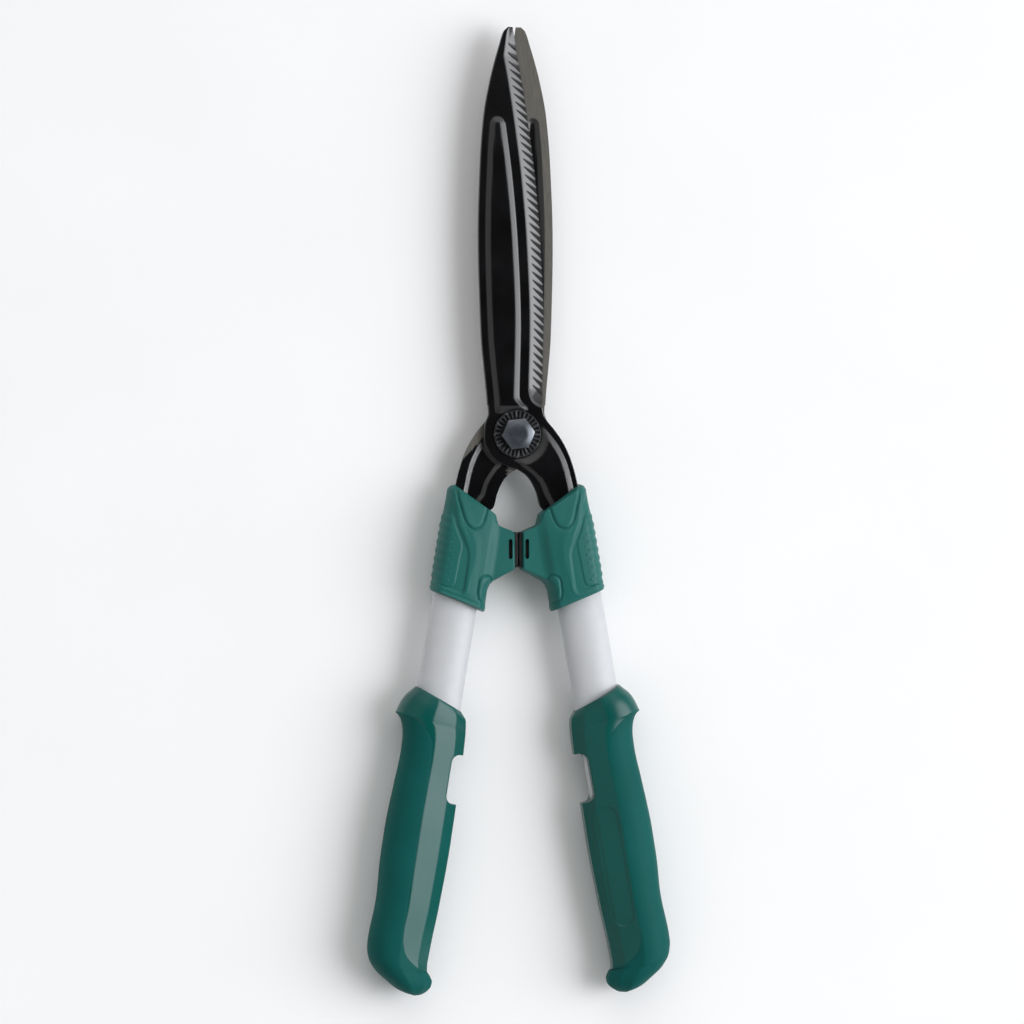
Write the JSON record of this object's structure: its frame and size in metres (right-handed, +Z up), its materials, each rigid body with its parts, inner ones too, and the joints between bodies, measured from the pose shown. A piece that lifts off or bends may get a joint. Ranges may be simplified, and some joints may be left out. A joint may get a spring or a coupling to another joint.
{
  "type": "hedge shears",
  "caption": "Two-handed hedge shears with ribbed, fluted steel blades on a bolted pivot, oval tube handles, moulded collars with rubber bumpers, and flanged grips.",
  "frame": {"origin": "middle of the footprint of the closed shears, on the surface they lie on", "axes": "+Y along the middle line towards the blade tips, +Z up out of the surface along the pivot bolt, +X towards the front blade's handle"},
  "size_m": [0.179, 0.5656, 0.032],
  "materials": {
    "blade_steel": "satin black non-stick coat over carbon steel, ground grey on the inner faces",
    "bolt_steel": "dark zinc plate",
    "disc_steel": "black phosphate, worn at the teeth",
    "zinc_steel": "bright zinc plate",
    "nylon": "natural nylon",
    "tube_aluminium": "satin anodised",
    "sleeve_plastic": "moulded natural plastic",
    "collar_plastic": "moulded satin plastic",
    "bumper_rubber": "moulded black rubber",
    "grip_plastic": "moulded glossy plastic",
    "grip_soft": "soft matte overmould"
  },
  "bodies": {
    "rear_arm": {"rear_blade": "blade_steel", "left_collar": "collar_plastic", "left_bumper": "bumper_rubber", "left_tube": "tube_aluminium", "left_tang_sleeve": "sleeve_plastic", "left_rivet_1": "zinc_steel", "left_rivet_2": "zinc_steel", "left_grip": "grip_plastic", "left_palm_pad": "grip_soft", "pivot_bolt": "bolt_steel", "toothed_lock_disc": "disc_steel", "pivot_bush": "zinc_steel", "friction_washer": "nylon", "back_washer": "zinc_steel", "spring_washer": "zinc_steel", "lock_nut": "zinc_steel", "nut_locking_ring": "nylon"},
    "front_arm": {"front_blade": "blade_steel", "right_collar": "collar_plastic", "right_bumper": "bumper_rubber", "right_tube": "tube_aluminium", "right_tang_sleeve": "sleeve_plastic", "right_rivet_1": "zinc_steel", "right_rivet_2": "zinc_steel", "right_grip": "grip_plastic", "right_palm_pad": "grip_soft"}
  },
  "joints": [
    {"name": "blade_pivot", "type": "hinge", "parent": "rear_arm", "child": "front_arm", "pos_m": [0, 0.04485, 0.016], "axis": [0, 0, 1], "range_deg": [0, 80]}
  ]
}
